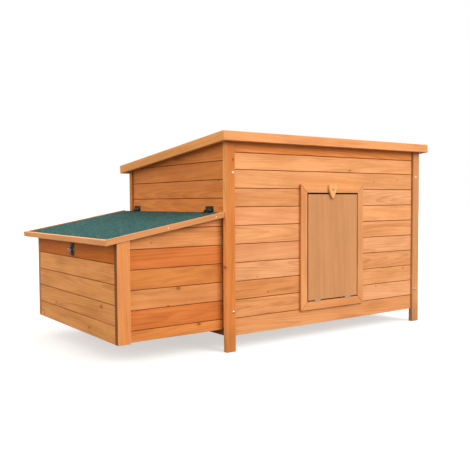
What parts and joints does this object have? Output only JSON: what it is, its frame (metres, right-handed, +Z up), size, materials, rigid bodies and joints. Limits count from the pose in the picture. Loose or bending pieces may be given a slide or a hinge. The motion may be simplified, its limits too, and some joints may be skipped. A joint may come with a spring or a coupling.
{
  "type": "chicken coop",
  "caption": "Raised wooden chicken coop with a fold-down ramp door held by a heart turn button, a hinged felted roof and a side nest box with a lift-up felted lid and hasp",
  "frame": {"origin": "on the ground, under the middle of the overall outline", "axes": "+X along the door front to the right as one faces it, +Y from the door front to the rear, +Z up"},
  "size_m": [1.492, 0.8117, 0.7646],
  "materials": {
    "stained_fir": "orange-honey stained fir, satin, fine grain",
    "plywood": "stained plywood, matt",
    "inner_wood": "bare softwood and plywood, matt",
    "green_felt": "mineral-grit roofing felt, rough",
    "zinc": "zinc-plated steel, slightly dulled",
    "dark_steel": "dark lacquered steel, satin, worn at the edges"
  },
  "bodies": {
    "house": {"post_front_left": "stained_fir", "post_front_right": "stained_fir", "post_rear_left": "stained_fir", "post_rear_right": "stained_fir", "front_wall": "stained_fir", "rear_wall": "stained_fir", "left_wall": "stained_fir", "right_wall": "stained_fir", "floor_panel": "inner_wood", "floor_bearer_front": "inner_wood", "floor_bearer_rear": "inner_wood", "perch_bar": "inner_wood", "door_frame_top": "stained_fir", "door_frame_bottom": "stained_fir", "door_frame_left": "stained_fir", "door_frame_right": "stained_fir", "ramp_hinge_1_frame_leaf": "zinc", "ramp_hinge_2_frame_leaf": "zinc", "turn_button_screw": "zinc", "nest_post_front": "stained_fir", "nest_post_rear": "stained_fir", "nest_front_wall": "stained_fir", "nest_rear_wall": "stained_fir", "nest_end_wall": "stained_fir", "nest_floor": "inner_wood", "nest_divider": "inner_wood", "lid_hinge_1_wall_leaf": "dark_steel", "lid_hinge_2_wall_leaf": "dark_steel", "roof_hinge_1_wall_leaf": "dark_steel", "roof_hinge_2_wall_leaf": "dark_steel", "hasp_plate": "zinc", "post_screw_left_lower": "zinc", "post_screw_left_upper": "zinc", "post_screw_right_lower": "zinc", "post_screw_right_upper": "zinc"},
    "ramp_door": {"ramp_panel": "plywood", "ramp_cleat_1": "inner_wood", "ramp_cleat_2": "inner_wood", "ramp_cleat_3": "inner_wood", "ramp_hinge_1_door_leaf": "zinc", "ramp_hinge_2_door_leaf": "zinc"},
    "turn_button": {"turn_button": "stained_fir"},
    "main_roof": {"roof_sheet": "inner_wood", "roof_felt": "green_felt", "roof_fascia_front": "stained_fir", "roof_fascia_rear": "stained_fir", "roof_fascia_left": "stained_fir", "roof_fascia_right": "stained_fir", "roof_hinge_1_roof_leaf": "dark_steel", "roof_hinge_2_roof_leaf": "dark_steel"},
    "nest_lid": {"lid_sheet": "inner_wood", "lid_felt": "green_felt", "lid_fascia_front": "stained_fir", "lid_fascia_rear": "stained_fir", "lid_fascia_outer": "stained_fir", "lid_hinge_1_lid_leaf": "dark_steel", "lid_hinge_2_lid_leaf": "dark_steel", "hasp_base": "dark_steel"},
    "hasp_strap": {"hasp_strap": "dark_steel"},
    "hasp_knob": {"hasp_knob": "zinc"}
  },
  "joints": [
    {"name": "ramp_door_hinge", "type": "hinge", "parent": "house", "child": "ramp_door", "pos_m": [0.204, -0.3823, 0.1443], "axis": [1, 0, 0], "range_deg": [0, 110]},
    {"name": "turn_button_pivot", "type": "hinge", "parent": "house", "child": "turn_button", "pos_m": [0.196, -0.3869, 0.57], "axis": [0, 1, 0], "continuous": true},
    {"name": "main_roof_hinge", "type": "hinge", "parent": "house", "child": "main_roof", "pos_m": [0.21, 0.3475, 0.64953], "axis": [-1, 0, 0], "range_deg": [0, 70]},
    {"name": "nest_lid_hinge", "type": "hinge", "parent": "house", "child": "nest_lid", "pos_m": [-0.2968, 0.014, 0.4926], "axis": [0, 1, 0], "range_deg": [0, 75]},
    {"name": "hasp_strap_hinge", "type": "hinge", "parent": "nest_lid", "child": "hasp_strap", "pos_m": [-0.7102, -0.01, 0.39493], "axis": [0, 1, 0], "range_deg": [0, 70]},
    {"name": "hasp_knob_pivot", "type": "hinge", "parent": "house", "child": "hasp_knob", "pos_m": [-0.712, -0.01, 0.358], "axis": [1, 0, 0], "range_deg": [0, 90]}
  ]
}
